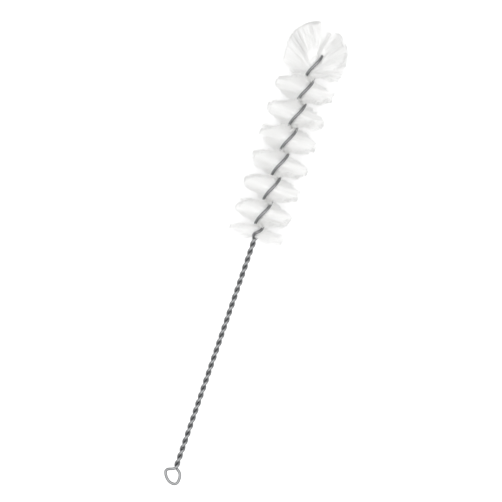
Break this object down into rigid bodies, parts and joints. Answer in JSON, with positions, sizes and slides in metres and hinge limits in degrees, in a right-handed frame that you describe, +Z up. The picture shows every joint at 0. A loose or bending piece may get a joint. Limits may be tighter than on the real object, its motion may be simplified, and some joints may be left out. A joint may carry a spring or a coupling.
{
  "type": "bottle brush",
  "caption": "Twisted-wire bottle brush with a hanging loop, a spiral of white bristles and a fanned bristle tip.",
  "frame": {"origin": "on the ground under the middle of the brush, as it lies on its bristles", "axes": "+X along the wire from the hanging loop to the fanned tip, +Z up, away from the ground"},
  "size_m": [0.2614, 0.0343, 0.032],
  "materials": {
    "galvanised_wire": "bright galvanised",
    "white_nylon": "satin white filament"
  },
  "bodies": {
    "root": {"wire": "galvanised_wire", "bristle_spiral": "white_nylon", "tip_fan": "white_nylon"}
  },
  "joints": []
}
